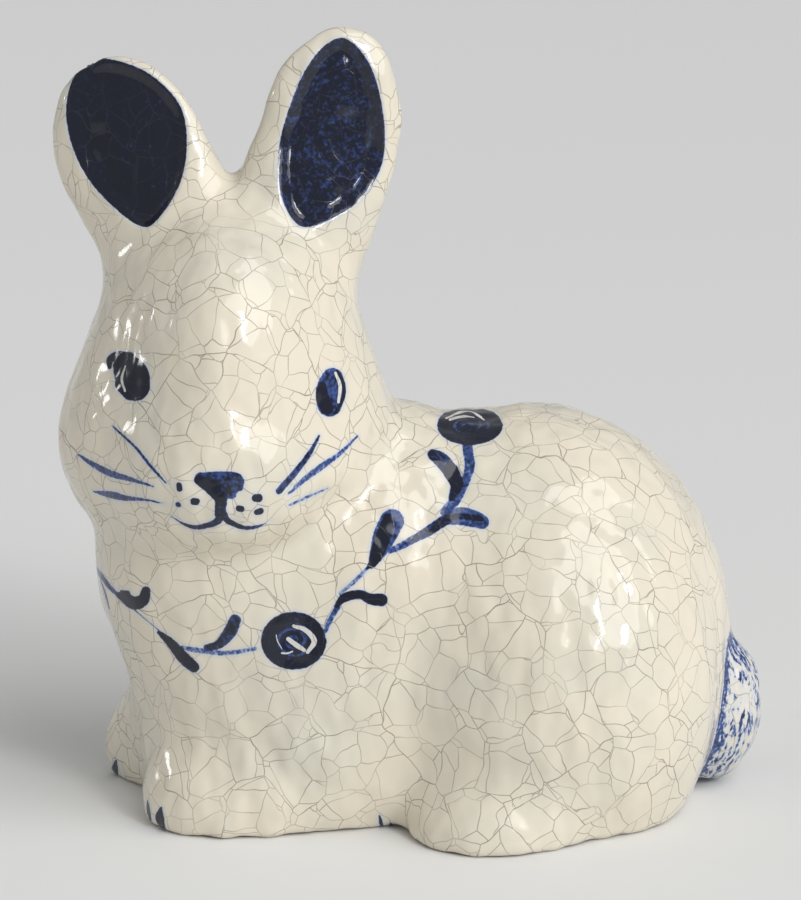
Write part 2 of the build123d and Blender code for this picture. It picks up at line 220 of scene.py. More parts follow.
def unit(ways):
    """The same ways, each with a length of one."""
    return ways / np.maximum(np.linalg.norm(ways, axis=1, keepdims=True), 1e-12)


# The camera stands where the photograph's did, a little above the figure's own left side. A pixel
# of the photograph is found on the clay by stepping along its line of sight.
photo_size = np.array((801, 900))
photo_focus = 5498
camera_azimuth_degrees = -5.7
camera_height_degrees = 16.6
camera_distance = 1.076
camera_target = np.array((-0.0058, 0, 0.0682))
azimuth, height = np.radians((camera_azimuth_degrees, camera_height_degrees))
camera_back = np.array(
    (np.sin(azimuth) * np.cos(height), -np.cos(azimuth) * np.cos(height), np.sin(height))
)
camera_right = np.array((np.cos(azimuth), np.sin(azimuth), 0))
camera_up = np.cross(camera_back, camera_right)
camera_spot = camera_target + camera_back * camera_distance
camera = bpy.data.objects.new("camera", bpy.data.cameras.new("camera"))
camera.location = camera_spot
camera.rotation_mode = "QUATERNION"
camera.rotation_quaternion = Vector(-camera_back).to_track_quat("-Z", "Y")
camera.data.lens = camera.data.sensor_width * photo_focus / photo_size.max()
bpy.context.scene.collection.objects.link(camera)
bpy.context.scene.camera = camera
pixel = camera_distance / photo_focus
sight_steps = 90
sight_stride = 0.8


def seen(pixels):
    """The points of the clay that pixels of the photograph show, or that lie nearest to them."""
    offset = (np.array(pixels, float) - photo_size / 2) / photo_focus
    ways = unit(offset[:, :1] * camera_right - offset[:, 1:] * camera_up - camera_back)
    far = np.full(len(ways), camera_distance - np.linalg.norm(cad_high - cad_low) / 2)
    nearest, best = np.full(len(ways), np.inf), far.copy()
    for _ in range(sight_steps):
        gap = clay(camera_spot + ways * far[:, None])
        best = np.where(gap < nearest, far, best)
        nearest = np.minimum(gap, nearest)
        far += gap * sight_stride
    return settled(camera_spot + ways * best[:, None])


# The skin of the whole figure, as one sheet of quads. It is cut into the clay pieces afterwards,
# so that the glaze runs on over every joint.
skin_step = 0.00065
skin_margin_steps = 12


def sheet(field, low, high, step):
    """Quads through the cells that a field's surface crosses, facing outwards."""
    margin = skin_margin_steps * step
    axes = [np.arange(a - margin, b + margin, step) for a, b in zip(low, high)]
    across, up = np.meshgrid(axes[1], axes[2], indexing="ij")
    slabs = (np.stack([np.full_like(across, x), across, up], -1) for x in axes[0])
    inside = np.stack([field(slab) < 0 for slab in slabs])
    cells = np.array(inside.shape) - 1
    corners = [
        inside[i : cells[0] + i, j : cells[1] + j, k : cells[2] + k]
        for i in (0, 1)
        for j in (0, 1)
        for k in (0, 1)
    ]
    full = sum(corner.astype(np.int8) for corner in corners)
    crossed = (full > 0) & (full < 8)
    number = np.cumsum(crossed).reshape(crossed.shape) - 1
    start = np.array([axis[0] for axis in axes])
    spots = start + (np.argwhere(crossed) + 0.5) * step
    quads = []
    for axis in range(3):
        here = np.moveaxis(inside, axis, 0)
        change = np.moveaxis(here[1:] != here[:-1], 0, axis)
        places = np.argwhere(change)
        one, two = np.eye(3, dtype=int)[[(axis + 1) % 3, (axis + 2) % 3]]
        four = [number[tuple((places - shift).T)] for shift in (one + two, two, 0 * one, one)]
        quad = np.stack(four, 1)
        leaving = inside[tuple(places.T)]
        quads.append(np.where(leaving[:, None], quad, quad[:, ::-1]))
    return spots, np.concatenate(quads)


def gathered(values, faces, count):
    """The sum, at each point, of the values of the faces round it."""
    return np.stack(
        [sum(np.bincount(faces[:, c], column, count) for c in range(4)) for column in values.T], 1
    )


def evened(spots, quads, rounds=3):
    """The same sheet with its points spread evenly and laid on the surface."""
    for _ in range(rounds):
        middles = np.column_stack([spots[quads].mean(1), np.ones(len(quads))])
        total = gathered(middles, quads, len(spots))
        spots = settled(total[:, :3] / total[:, 3:], rounds=2)
    return spots


def square(points, faces):
    """Each point's direction square to the sheet."""
    one, two = points[faces[:, 2]] - points[faces[:, 0]], points[faces[:, 3]] - points[faces[:, 1]]
    return unit(gathered(np.cross(one, two), faces, len(points)))


spots, quads = sheet(clay, cad_low, cad_high, skin_step)
spots = evened(spots, quads)
ways_out = square(spots, quads)

# The brushwork, mark by mark. Each mark has its darkness, and its middle line and width in pixels
# of the photograph. Marks on the side away from the camera mirror the near ones.
brushwork = {
    "whiskers_right": {
        "top": (0.75, [(113, 426.5, 1.7), (136, 448, 2.4), (151, 466.6, 2.8), (166, 483, 1.4)]),
        "middle": (0.66, [
            (78.4, 454.7, 1.5), (94.7, 465.5, 5.4), (112, 474, 6.5), (131.6, 479.6, 4.3),
            (153, 486.5, 1.3),
        ]),
        "bottom": (0.66, [
            (92.5, 491.5, 1.5), (112, 495, 7), (125, 498, 5.4), (146.7, 500, 2.2), (163, 503.5, 1),
        ]),
    },
    "whiskers_left": {
        "top": (0.72, [(319, 436, 2.2), (309.4, 453.6, 4.8), (296.3, 471, 6), (279, 491, 6.5)]),
        "middle": (0.5, [
            (357.5, 436, 1.5), (339.7, 453.6, 4), (320, 467.7, 6), (302.8, 480.7, 4.8),
            (288.8, 493.7, 2.2),
        ]),
        "bottom": (0.35, [(327.8, 488.3, 1), (309.4, 496, 2.6), (289.8, 505, 2)]),
    },
    "muzzle_dots_right": {
        "top": (1.0, [(179, 485, 5.5), (179.6, 488.5, 6)]),
        "bottom": (0.85, [(177.7, 504.5, 4.8), (179, 505.2, 4.4)]),
        "inner": (1.0, [(193.8, 501.3, 7), (196.4, 501.6, 7)]),
    },
    "muzzle_dots_left": {
        "top": (1.0, [(255.6, 498, 7.5), (258.4, 498, 8.5)]),
        "inner": (1.0, [(238.6, 508.4, 6), (241.6, 509, 6)]),
        "bottom": (1.0, [(257, 512.2, 6), (260.4, 511, 6.4)]),
    },
    "nose": {
        "bar": (0.72, [(200, 477.5, 10), (222, 478, 13), (236, 480, 14), (239.5, 487, 8)]),
        "wing": (0.62, [(234, 483, 14), (231, 493, 12)]),
        "centre": (0.75, [(220, 485, 10), (230, 489, 11)]),
        "side": (0.97, [(199, 480, 10), (211, 487, 14), (220, 497, 13)]),
        "stem": (0.85, [(221, 492, 14), (221, 503, 12), (219.5, 514, 10)]),
    },
    "mouth": {
        "right": (0.85, [
            (221, 508, 9), (219.4, 518.8, 8), (211.8, 524, 6), (196.6, 527.3, 4.5),
            (183.6, 524, 2.6), (170.6, 516.5, 1),
        ]),
        "left": (0.88, [
            (222.6, 512.5, 8), (228.3, 521, 6), (244.3, 527.7, 4), (259.5, 526.2, 3),
            (272.5, 521.2, 1),
        ]),
    },
    "eye_right": {
        "ball": (0.97, [(126, 366, 26), (132, 376, 34), (135, 386, 30)]),
        "lid": (0.95, [(109.5, 367, 4), (110, 360, 7), (117, 356, 9), (129, 358, 12)]),
        "low": (0.95, [(124, 384, 18), (131, 392, 17)]),
    },
    "eye_left": {
        "ball": (0.66, [(332.5, 379, 22), (331, 391, 30), (329.5, 404, 25)]),
        "shade": (1.0, [(322, 386, 8), (322.5, 398, 13), (327, 408, 13)]),
        "rim": (0.95, [(337, 371, 3), (343.6, 383, 3), (343, 399, 3.4), (335, 413, 3)]),
    },
    "garland_vine_left": {
        "first": (0.72, [
            (92, 563, 2), (100.6, 575, 4.3), (112.5, 590, 4), (132, 607.5, 1.1),
            (151.6, 624.8, 1.3), (159, 631.3, 2.2),
        ]),
        "pale": (0.38, [(182, 647.6, 4), (201.4, 650.8, 5), (227.4, 653, 4.5), (255.6, 648.7, 3)]),
        "rising": (0.48, [(325, 631.3, 4.5), (331.5, 617.2, 5), (339, 605.3, 5)]),
        "faint": (0.3, [(340.2, 593.4, 3), (355.4, 580.4, 4), (368.4, 567.3, 3)]),
        "branch": (0.52, [(389, 551.4, 5), (402.2, 545.5, 7), (415.4, 538.2, 8)]),
        "branch_end": (0.78, [(415.4, 538.2, 8), (428.6, 531, 10), (446.2, 519, 11)]),
        "upright": (0.58, [
            (444.7, 511.8, 9), (455, 500, 11), (465.3, 481, 9), (469.7, 466.3, 10),
            (468.2, 453, 10), (466.7, 441, 10),
        ]),
    },
    "garland_leaves_left": {
        "small": (0.62, [(100.6, 580.4, 1), (105, 593.4, 3), (108.8, 608.5, 2)]),
        "heart": (0.93, [
            (116, 594, 3), (124, 597, 10), (134, 603, 13), (143, 600, 12), (146, 591, 9),
        ]),
        "heart_bump": (0.93, [(122, 592.5, 5), (127, 594, 7)]),
        "drop": (0.93, [(159, 632.4, 4), (171, 643.2, 9), (184, 658.4, 12), (193.8, 667, 11)]),
        "standing": (0.82, [
            (206.8, 647.6, 6.5), (218.8, 644.3, 9), (229.6, 632.4, 13), (235, 620.5, 12),
        ]),
        "arched": (0.94, [
            (336, 606.4, 4), (344.5, 597.7, 9), (359.7, 594.4, 9), (370.5, 599, 11), (381, 600, 13),
        ]),
        "dark_wash": (0.62, [(371, 566, 6), (378, 552, 16), (385, 535, 23), (392, 521, 24)]),
        "dark": (1.0, [(367, 568.3, 1.5), (374, 561, 10), (382, 540, 15), (388, 518, 9)]),
        "right_wash": (0.6, [(449, 517.7, 14), (461, 516.2, 18), (474, 519, 17), (482, 522, 14)]),
        "right": (0.9, [(444.7, 519, 6), (461, 516.2, 6), (481, 519, 5)]),
        "left": (0.95, [(452, 497.6, 7), (456.5, 484, 13), (450.6, 470.7, 16)]),
        "left_end": (0.78, [(450.6, 470.7, 15), (441.8, 460.4, 15), (433, 454.6, 11)]),
    },
    "claws_forepaw_right": {
        "claw": (0.95, [(116, 761, 2.4), (114.6, 771, 7), (116, 781, 4)]),
    },
    "claws_forepaw_left": {
        "outer": (0.9, [(147, 801, 2), (147.6, 810, 5), (150, 820, 3)]),
        "inner": (0.95, [(161, 808, 2.4), (159.6, 818, 8.5), (163, 829, 5)]),
    },
    "claws_hind_left": {
        "front": (0.9, [(379.5, 816, 1.8), (381, 823, 3.6), (384, 831, 2)]),
        "back": (0.9, [(391, 824, 2.6), (391.6, 833, 5.5), (395, 841, 3)]),
    },
}

# The roses are wound with a loaded brush: a dark ring, a spiral into it, and arcs that are
# scratched back to the pale ground. Each has its middle and its half width and height.
roses = {
    "garland_rose_left": ((293.6, 640.6), (33, 28.6)),
    "garland_rose_back": ((469.7, 425.2), (33, 17)),
}
ring_share = 0.17
heart_darkness = 0.66
# A rose's stroke has its darkness, its turns, its first and last reach as shares of the half
# width, and its own width as a share of the ring's.
rose_strokes = {
    "wash": (0.66, 1, 0.45, 0.45, 2.2),
    "ring": (0.94, 1.15, 1 - ring_share, 0.8, 1),
    "spiral": (0.9, 2.4, 0.7, 0.12, 0.42),
}
# Lines wiped back to the pale ground: real scratches in the roses, and in each eye a glint, which
# is a painted highlight.
scratches_and_highlights = {
    "eye_right": {"glint": [(125, 366, 2), (121.8, 379, 2.6), (125, 391, 2)]},
    "eye_left": {"glint": [(335.5, 373, 2.4), (340, 386, 3.4), (338.4, 402, 2.6)]},
    "garland_rose_left": {
        "outer": [(293.6, 626, 3.5), (305.5, 630.2, 5), (314.2, 641, 5.5), (307.7, 652, 4)],
        "inner": [(288.2, 639, 4), (296.8, 645.4, 5), (304, 650, 4)],
        "left": [(276.2, 634.6, 1), (277.5, 641, 1.4), (282, 649, 1)],
        "bottom": [(281.7, 653, 2), (287, 653.4, 2.2), (292.5, 651.5, 1.6)],
    },
    "garland_rose_back": {
        "outer": [(446.2, 418, 2), (459.4, 412.5, 2.6), (473, 413, 2.4), (484.3, 419.3, 2.4)],
        "inner": [(450, 419.6, 2.4), (461, 416.4, 3), (474, 417.6, 1.6)],
        "low": [(452, 428, 1.4), (457, 429.4, 1.6), (463, 428.6, 1)],
    },
}
curve_steps = 6
turn_steps = 28
paint_bleed = 0.00006


def curved(marks):
    """A smooth line through marks, with points between them."""
    marks = np.array(marks, float)
    ends = np.vstack([2 * marks[0] - marks[1], marks, 2 * marks[-1] - marks[-2]])
    share = (np.arange(curve_steps) / curve_steps)[:, None]
    spans = [
        b
        + (c - a) / 2 * share
        + (2 * a - 5 * b + 4 * c - d) / 2 * share**2
        + (3 * b - a - 3 * c + d) / 2 * share**3
        for a, b, c, d in zip(ends, ends[1:], ends[2:], ends[3:])
    ]
    return np.vstack([*spans, marks[-1:]])


def mark_on(line, darkness, halves, pixels=None, side=1):
    """A brush mark: its line on the clay, the ways out of the clay there, its half widths and
    darkness, and the pixels that it was seen at, on the side shown (1) or mirrored (-1)."""
    return {
        "line": line,
        "out": unit(outward(line)),
        "halves": halves,
        "darkness": darkness,
        "pixels": pixels,
        "side": side,
        "filled": False,
    }


def stroke(darkness, marks, side=1):
    """A brush mark that follows the photograph."""
    marks = np.array(marks, float)
    line = seen(marks[:, :2])
    if side < 0:
        line = settled(line * (1, -1, 1))
    return mark_on(line, darkness, marks[:, 2] * pixel / 2 + paint_bleed, marks[:, :2], side)


def wound(middle, half, turns, start, end, width):
    """The marks of a ring or spiral. Its reach runs from one share of the half sizes to another."""
    turn = np.linspace(0, turns, int(turns * turn_steps) + 1)
    reach = start + (end - start) * turn / turns
    across = middle[0] + half[0] * reach * np.cos(2 * np.pi * turn)
    down = middle[1] + half[1] * reach * np.sin(2 * np.pi * turn)
    return np.column_stack([across, down, np.full(len(turn), width)])


def rose(middle, half, side=1):
    """The strokes of one rose: the dab at its heart, and what is wound round it."""
    ring = half[0] * ring_share * 2
    heart = [(*middle, ring), (middle[0] + ring / 4, middle[1], ring)]
    return [
        stroke(heart_darkness, heart, side),
        *(
            stroke(darkness, wound(middle, half, turns, start, end, ring * share), side)
            for darkness, turns, start, end, share in rose_strokes.values()
        ),
    ]


strokes = {
    node: [stroke(darkness, curved(marks)) for darkness, marks in marks_of.values()]
    for node, marks_of in brushwork.items()
}
# The wiped lines hold the roses' scratches and the eyes' painted highlights.
wiped_and_highlit = {
    node: [stroke(0, curved(marks)) for marks in marks_of.values()]
    for node, marks_of in scratches_and_highlights.items()
}
for node, (middle, half) in roses.items():
    strokes[node] = rose(middle, half)

# One leaf lies over the rabbit's spine, so the far side has no copy of it. The rest of the
# garland and the claws of the hind foot are mirrored.
spine_leaf_darkness = 0.9
spine_leaf = [(462, 407, 4), (452, 403.5, 8), (441.8, 400.3, 8), (425, 399.5, 2)]
strokes["garland_leaves_left"].append(stroke(spine_leaf_darkness, curved(spine_leaf)))
mirrored = ("garland", "claws_hind")
for node, marks_of in brushwork.items():
    if node.startswith(mirrored):
        far_node = node.replace("left", "right")
        strokes[far_node] = [
            stroke(darkness, curved(marks), -1) for darkness, marks in marks_of.values()
        ]
strokes["garland_rose_right"] = rose(*roses["garland_rose_left"], -1)
wiped_and_highlit["garland_rose_right"] = [
    stroke(0, curved(marks), -1) for marks in scratches_and_highlights["garland_rose_left"].values()
]

# The ears' hollows are filled with the darkest colour, up to a brushed outline. Each outline has
# its darkness and its corners in pixels of the photograph.
lining_outlines = {
    "right": (0.95, [
        (95, 58), (75, 74), (66, 105), (70, 140), (86, 176), (112, 206), (142, 227), (160, 217),
        (180, 184), (187, 148), (183, 112), (165, 86), (135, 66),
    ]),
    "left": (0.84, [
        (345, 38), (325, 45), (305, 70), (290, 105), (280, 140), (278, 175), (284, 205), (302, 227),
        (332, 219), (361, 199), (381, 168), (385, 130), (378, 86), (365, 56),
    ]),
}


def filling(darkness, outline):
    """An area of paint within an outline in pixels, its corners rounded."""
    corners = np.array(outline, float)
    ring = np.vstack([corners[-2:], corners, corners[:2]])
    smooth = curved(ring)[2 * curve_steps : -curve_steps]
    area = stroke(darkness, np.column_stack([smooth, np.ones(len(smooth))]))
    area["filled"] = True
    return area


for side, (darkness, outline) in lining_outlines.items():
    strokes["ear_lining_" + side] = [filling(darkness, outline)]

# The tail is covered with short dabs of a nearly dry brush, which lean with its fur. Each dab is
# widest in its middle, and is a little longer or shorter, wider or thinner than the next.
rng = np.random.default_rng(7)
dab_count = 1300
dab_half_length = 0.0011
dab_half_widths = np.array((0.00008, 0.00034, 0.00012))
dab_ends = np.array((-1, 0, 1))[:, None]
dab_lengths = (0.6, 1.4)
dab_widths = (0.7, 1.3)
dab_darkness = (0.3, 0.75)
fur_way = np.array((0.25, -0.1, 1))
fur_unevenness = 0.22
tail_middle, tail_radii = (np.array(part) * body_size for part in tail_shares)
heading = unit(rng.normal(size=(dab_count, 3)))
dabs = settled(tail_middle + heading * tail_radii)
dab_out = unit(outward(dabs))
fur = fur_way + rng.normal(size=(dab_count, 3)) * fur_unevenness
fur = unit(fur - dab_out * (fur * dab_out).sum(1, keepdims=True))
strokes["tail_sponging"] = []
for spot, way in zip(dabs, fur):
    ends = spot + way * dab_half_length * dab_ends * rng.uniform(*dab_lengths)
    halves = dab_half_widths * rng.uniform(*dab_widths)
    dab = mark_on(settled(ends, rounds=2), rng.uniform(*dab_darkness), halves)
    strokes["tail_sponging"].append(dab)

# The paint lies where the brush went. What the photograph shows decides, so a mark is measured in
# its pixels, and it is stretched only so far where the clay slants away from the camera.
nothing_near = -0.004
slant_stretch = 2.2
least_facing = 0.1
soft_edge = 0.0003
soft_share = 0.6
scratch_and_highlight_edge = 0.00012
scratch_and_highlight_lift = 0.00025


def ease(low, high, value):
    """0 below low, 1 above high and smooth between them."""
    share = np.clip((value - low) / (high - low), 0, 1)
    return share * share * (3 - 2 * share)


def on_photo(points):
    """The pixels that show points."""
    offset = points - camera_spot
    far = -(offset @ camera_back)
    across, up = offset @ camera_right / far, offset @ camera_up / far
    return photo_size / 2 + photo_focus * np.column_stack([across, -up])


def within(points, outline):
    """How deep points lie inside an outline that is given in pixels."""
    spots_seen = on_photo(points)
    start, run = outline, np.roll(outline, -1, 0) - outline
    offset = spots_seen[:, None] - start
    share = np.clip((offset * run).sum(-1) / np.maximum((run**2).sum(-1), 1e-9), 0, 1)
    apart = np.linalg.norm(offset - share[..., None] * run, axis=-1).min(1)
    end = start + run
    level = spots_seen[:, 1:]
    crossing = (start[:, 1] > level) != (end[:, 1] > level)
    steep = np.where(run[:, 1] == 0, 1, run[:, 1])
    reach = start[:, 0] + (level - start[:, 1]) * run[:, 0] / steep
    enclosed = (crossing & (reach > spots_seen[:, :1])).sum(1) % 2 == 1
    return np.where(enclosed, apart, -apart) * pixel


def along_line(places, line, halves):
    """How deep places lie inside a line with half widths, in space or in the photograph."""
    start, run = line[:-1], np.diff(line, axis=0)
    offset = places[:, None] - start
    share = np.clip((offset * run).sum(-1) / np.maximum((run**2).sum(-1), 1e-12), 0, 1)
    apart = np.linalg.norm(offset - share[..., None] * run, axis=-1)
    return halves[:-1] + share * np.diff(halves) - apart


def inside(points, facing, mark):
    """Which points lie near a brush mark, and how deep inside it they lie."""
    line, out, halves = mark["line"], mark["out"], mark["halves"]
    margin = halves.max() * slant_stretch - nothing_near
    low, high = line.min(0) - margin, line.max(0) + margin
    near = np.flatnonzero(((points > low) & (points < high)).all(1))
    at = points[near]
    if mark["filled"]:
        depth = within(at, mark["pixels"])
        depth[facing[near] @ out.mean(0) < 0] = nothing_near
        return near, np.maximum(depth, nothing_near)
    stretch = 1 if mark["pixels"] is None else slant_stretch
    depth = along_line(at, line, halves * stretch)
    depth[facing[near] @ out[:-1].T < least_facing] = nothing_near
    depth = depth.max(1)
    if mark["pixels"] is not None:
        shown_at = on_photo(at * (1, mark["side"], 1))
        flat = along_line(shown_at, mark["pixels"], halves / pixel).max(1) * pixel
        depth = np.minimum(depth, flat)
    return near, np.maximum(depth, nothing_near)


def brushed(points, facing, marks):
    """At each point, how deep it lies inside brush marks and how dark they are there."""
    deep, dark = np.full(len(points), nothing_near), np.zeros(len(points))
    low, high = points.min(0) + nothing_near, points.max(0) - nothing_near
    for mark in marks:
        if (mark["line"].min(0) > high).any() or (mark["line"].max(0) < low).any():
            continue
        near, depth = inside(points, facing, mark)
        deep[near] = np.maximum(deep[near], depth)
        soft = soft_edge
        if not mark["filled"]:
            soft = min(soft_edge, mark["halves"].max() * soft_share)
        shown = mark["darkness"] * ease(-soft, soft * soft_share, depth)
        dark[near] = np.maximum(dark[near], shown)
    return deep, dark


def scratched_and_highlit(points, facing, marks):
    """At each point, how far it lies inside lines wiped out of the paint: the roses' scratches, and
    the eyes' painted highlights.
    """
    deep, _ = brushed(points, facing, marks)
    return ease(-scratch_and_highlight_edge, scratch_and_highlight_edge, deep)


# The surface was worked by hand before firing: shallow upright dents like combed fur, stronger in
# some places than in others, and hollow ears. The foot and the outermost clay are left level.
dent_height = 0.00062
dent_size = np.array((0.0052, 0.0052, 0.0085))
small_dent_share = 0.4
small_dents_finer = 2.1
dent_patch_size = 0.03
dent_evenness = 0.75
dent_patchiness = 0.6
rubbed_off = 0.0001
hollow_from, hollow_to = -0.0004, 0.0024


def waves(size, finer_by=1):
    """Soft noise at the skin's points, between -1 and 1, with features of a size."""
    return np.array([noise.noise(Vector(spot / size * finer_by)) for spot in spots])


dented = waves(dent_size)
dented += small_dent_share * waves(dent_size, small_dents_finer)
unevenness = dent_evenness + dent_patchiness * waves(dent_patch_size)
raised = dented * dent_height * unevenness - rubbed_off
for side in ears:
    deep, _ = brushed(spots, ways_out, strokes["ear_lining_" + side])
    raised -= ear_hollow * ease(hollow_from, hollow_to, deep)
spots = spots + ways_out * raised[:, None]
spots = np.clip(spots, np.minimum(cad_low, 0) * (1, 1, 0), cad_high)
normals = square(spots, quads)

# Each quad of the skin belongs to the piece of clay whose mass it lies nearest to, and to the
# piece of paint whose brush marks it lies deepest in, out to the edge of a halo round the marks.
halo = 0.0009
untangle_rounds = 40
middles = spots[quads].mean(1)
facing = normals[quads].mean(1)
clay_gaps = {
    "body_shell": body_gap(middles),
    "head_shell": head_gap(middles),
    **{"ear_" + side: ear_gap(middles, side) for side in ears},
    **{name: body_lump(middles, shares) for name, shares in paws.items()},
    "tail": body_lump(middles, tail_shares),
}
owner = np.argmin(list(clay_gaps.values()), axis=0)
depths = np.stack([brushed(middles, facing, marks)[0] for marks in strokes.values()])
painter = np.where(depths.max(0) > -halo, depths.argmax(0), -1)
corner_edges = np.stack([quads, np.roll(quads, -1, 1)], -1).reshape(-1, 2)
_, edge_of = np.unique(np.sort(corner_edges, 1), axis=0, return_inverse=True)
by_edge = np.argsort(edge_of.ravel(), kind="stable").reshape(-1, 2)
edge_quads = by_edge // 4
edge_ends = corner_edges[by_edge[:, 0]]


def untangled(labels):
    """The same labels, changed where two patches of one label would touch in a point only."""
    labels = labels.copy()
    for _ in range(untangle_rounds):
        apart = labels[edge_quads[:, 0]] != labels[edge_quads[:, 1]]
        parting = np.bincount(edge_ends[apart].ravel(), minlength=len(spots))
        touched = (parting[quads] > 3).any(1)
        if not touched.any():
            break
        corners = quads[touched]
        lowest = np.full(len(spots), labels.max() + 1)
        for c in range(4):
            tangled = parting[corners[:, c]] > 3
            np.minimum.at(lowest, corners[tangled, c], labels[touched][tangled])
        options = np.where(parting[corners] > 3, lowest[corners], labels.max() + 1)
        labels[touched] = options.min(1)
    return labels


painter, owner = untangled(painter), untangled(owner)


class Finish:
    """A material in the making. Its nodes come from one method."""

    def __init__(self, name):
        self.material = bpy.data.materials.new(name + "_finish")
        self.material.use_nodes = True
        self.tree = self.material.node_tree
        self.tree.nodes.clear()

    def node(self, kind, settings, sockets, output=0):
        """A node's output, once its settings and then its sockets are set."""
        made = self.tree.nodes.new("ShaderNode" + kind)
        for name, value in settings.items():
            setattr(made, name, value)
        for name, value in sockets.items():
            if isinstance(value, Wire):
                self.tree.links.new(value.socket, made.inputs[name])
            else:
                made.inputs[name].default_value = value
        return Wire(self, made.outputs[output]) if len(made.outputs) else None

    def mixed(self, share, one, two):
        """A colour between two others."""
        return self.node("Mix", {"data_type": "RGBA"}, {0: share, 6: one, 7: two}, 2)

    def vector(self, operation, one, two=(0.0, 0.0, 0.0), scale=1.0):
        """A sum with vectors. A dot product is a number."""
        sockets = {0: one, "Scale": scale} if operation == "SCALE" else {0: one, 1: two}
        output = "Value" if operation == "DOT_PRODUCT" else "Vector"
        return self.node("VectorMath", {"operation": operation}, sockets, output)

    def moved(self, spot, way, reach):
        """A spot moved along a way by a reach."""
        return self.vector("ADD", spot, self.vector("SCALE", way, scale=reach))

    def eased(self, low, high, value):
        """0 below low, 1 above high and smooth between them."""
        settings = {"interpolation_type": "SMOOTHSTEP"}
        return self.node("MapRange", settings, {0: value, 1: low, 2: high})

    def cloud(self, spot, size, detail):
        """Soft noise with features of a size."""
        sockets = {"Vector": spot, "Scale": 1 / size, "Detail": detail}
        return self.node("TexNoise", {}, sockets, "Fac")

    def done(self, surface):
        """The finished material."""
        shader = self.node("BsdfPrincipled", {}, surface, "BSDF")
        self.node("OutputMaterial", {}, {"Surface": shader})
        return self.material


class Wire:
    """A number in a material, which takes Python's signs."""

    def __init__(self, finish, socket):
        self.finish, self.socket = finish, socket

    def maths(self, operation, one, two):
        """A sum with two numbers."""
        return self.finish.node("Math", {"operation": operation}, {0: one, 1: two})

    def __add__(self, other):
        return self.maths("ADD", self, other)

    def __radd__(self, other):
        return self.maths("ADD", other, self)

    def __sub__(self, other):
        return self.maths("SUBTRACT", self, other)

    def __rsub__(self, other):
        return self.maths("SUBTRACT", other, self)

    def __mul__(self, other):
        return self.maths("MULTIPLY", self, other)

    def __rmul__(self, other):
        return self.maths("MULTIPLY", other, self)

    def __truediv__(self, other):
        return self.maths("DIVIDE", self, other)

    def __pow__(self, other):
        return self.maths("POWER", self, other)

    def or_more(self, other):
        """The larger of two numbers."""
        return self.maths("MAXIMUM", self, other)


# The glaze is a thick clear coat over cream clay. As it cooled it crazed: long cracks part the
# surface into fields, and shorter ones end against them. Dirt has browned the cracks.
cream = (0.77, 0.705, 0.575, 1)
cream_pool = (0.69, 0.655, 0.55, 1)
pool_size = 0.02
pool_from, pool_full = 0.4, 0.75
crack_brown = (0.17, 0.14, 0.11, 1)
crack_sizes = (0.0105, 0.0062)
crack_width = 0.00013
crack_core = 0.3
never_flat = 1.0001
crack_bend = 0.005
crack_bend_size = 0.011
short_crack_share = 0.85
faint_crack_share = 0.45
faint_patch_size = 0.008
brown_from, brown_full = 0.35, 0.6
crack_cover = 0.75
crack_hiding = 0.68
crack_groove = 0.12
glaze_roughness = 0.10
crack_roughness = 0.15
glaze_ior = 1.48
coat_weight = 0.25
coat_roughness = 0.04
ripple_size = 0.004
ripple_height = 0.5
bump_depth = 0.0004
bump_strength = 0.25


def crazed(finish, spot):
    """How strongly a crack shows at a spot. A crack is the wall between two cells of clay, and its
    width is measured along the surface, so that a slanting wall shows no wider than another."""
    noise_at = {"Vector": spot, "Scale": 1 / crack_bend_size, "Detail": 2.0}
    drift = finish.node("TexNoise", {}, noise_at, "Color")
    bent = finish.moved(spot, finish.vector("SUBTRACT", drift, (0.5, 0.5, 0.5)), crack_bend)
    out = finish.node("NewGeometry", {}, {}, "Normal")
    shown = None
    for size in crack_sizes:
        at = {"Vector": bent, "Scale": 1 / size}
        one, two = (
            finish.node("TexVoronoi", {"feature": feature}, at, "Position")
            for feature in ("F1", "F2")
        )
        across = finish.vector("NORMALIZE", finish.vector("SUBTRACT", one, two))
        middle = finish.vector("SCALE", finish.vector("ADD", one, two), scale=0.5)
        apart = finish.vector("DOT_PRODUCT", finish.vector("SUBTRACT", bent, middle), across)
        slant = finish.vector("DOT_PRODUCT", across, out)
        along = (never_flat - slant * slant) ** 0.5
        line = 1 - finish.eased(crack_width * crack_core, crack_width, apart / along)
        shown = line if shown is None else shown.or_more(line * short_crack_share)
        # The field's own colour shifts the pattern, so each field gets short cracks of its own.
        field = finish.node("TexVoronoi", {"feature": "F1"}, at, "Color")
        bent = finish.moved(bent, field, 1.0)
    patches = finish.cloud(spot, faint_patch_size, detail=2.0)
    browned = finish.eased(brown_from, brown_full, patches)
    return shown * (faint_crack_share + (1 - faint_crack_share) * browned)


def glazed(name, colour_of=None):
    """The glaze over the bare clay, or over a colour worked out from finish, spot and ground."""
    finish = Finish(name)
    spot = finish.node("TexCoord", {}, {}, "Object")
    crack = crazed(finish, spot)
    pool = finish.eased(pool_from, pool_full, finish.cloud(spot, pool_size, detail=3.0))
    ground = finish.mixed(pool, cream, cream_pool)
    colour, hidden = colour_of(finish, spot, ground) if colour_of else (ground, 0.0)
    ripples = finish.cloud(spot, ripple_size, detail=2.0)
    height = ripples * ripple_height - crack * crack_groove
    bump = {"Strength": bump_strength, "Distance": bump_depth, "Height": height}
    stain = crack * (crack_cover - hidden * crack_hiding)
    return finish.done(
        {
            "Base Color": finish.mixed(stain, colour, crack_brown),
            "Roughness": glaze_roughness + crack * crack_roughness,
            "IOR": glaze_ior,
            "Coat Weight": coat_weight,
            "Coat Roughness": coat_roughness,
            "Normal": finish.node("Bump", {}, bump, "Normal"),
        }
    )


